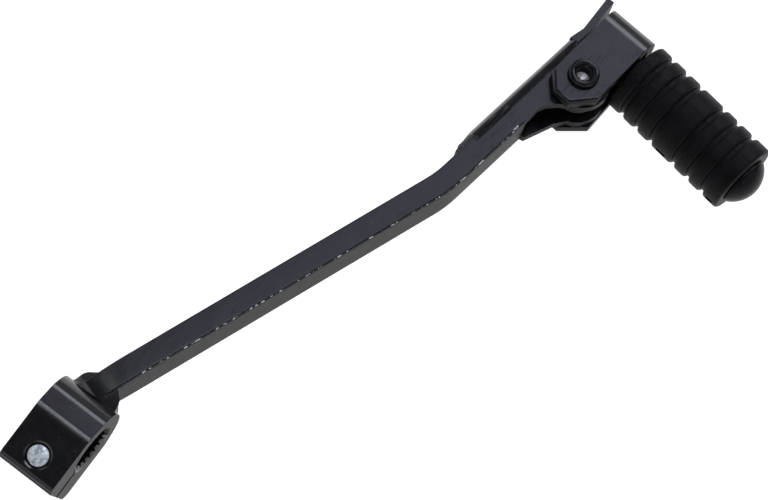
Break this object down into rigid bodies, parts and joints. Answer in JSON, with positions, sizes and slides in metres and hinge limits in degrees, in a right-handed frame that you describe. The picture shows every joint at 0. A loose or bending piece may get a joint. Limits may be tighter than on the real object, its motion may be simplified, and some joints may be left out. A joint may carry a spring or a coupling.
{
  "type": "gear shift lever",
  "caption": "Bent black foot-shift lever with a splined, slit clamp block at one end and a sprung folding foot peg in a ribbed rubber sleeve at the other.",
  "frame": {"origin": "centre of the splined bore, halfway across the clamp block", "axes": "+X towards the pedal end, +Y inboard along the gearbox shaft, -Y outboard (the way the foot peg points), +Z the side that faces up when the lever lies as it is shown"},
  "size_m": [0.1867, 0.098, 0.0286],
  "materials": {
    "clamp_boss": "gloss black paint",
    "pinch_bolt": "bright zinc plate",
    "lock_washer": "bright zinc plate",
    "root_weld": "gloss black paint over a weld",
    "arm_bar": "gloss black paint",
    "head_weld": "gloss black paint over a weld",
    "arm_head": "gloss black paint",
    "pivot_sleeve": "plain steel",
    "return_spring": "oiled spring steel",
    "clevis_strap": "gloss black paint, lightly scratched",
    "pivot_rivet": "black finish, bare and a little rusty in its hole",
    "peg_pin": "gloss black paint",
    "peg_weld": "gloss black paint over a weld",
    "peg_rubber": "matt black moulded rubber"
  },
  "bodies": {
    "lever": {"clamp_boss": "clamp_boss", "pinch_bolt": "pinch_bolt", "lock_washer": "lock_washer", "root_weld": "root_weld", "arm_bar": "arm_bar", "head_weld": "head_weld", "arm_head": "arm_head", "pivot_sleeve": "pivot_sleeve", "return_spring": "return_spring"},
    "peg": {"clevis_strap": "clevis_strap", "pivot_rivet": "pivot_rivet", "peg_pin": "peg_pin", "peg_weld": "peg_weld", "peg_rubber": "peg_rubber"}
  },
  "joints": [
    {"name": "peg_fold", "type": "hinge", "parent": "lever", "child": "peg", "pos_m": [0.14765, -0.0408, 0], "axis": [0, 0, -1], "range_deg": [0, 90], "stiffness_Nm_per_rad": 0.1, "springref_deg": -85.94, "deforming": ["return_spring"]}
  ]
}
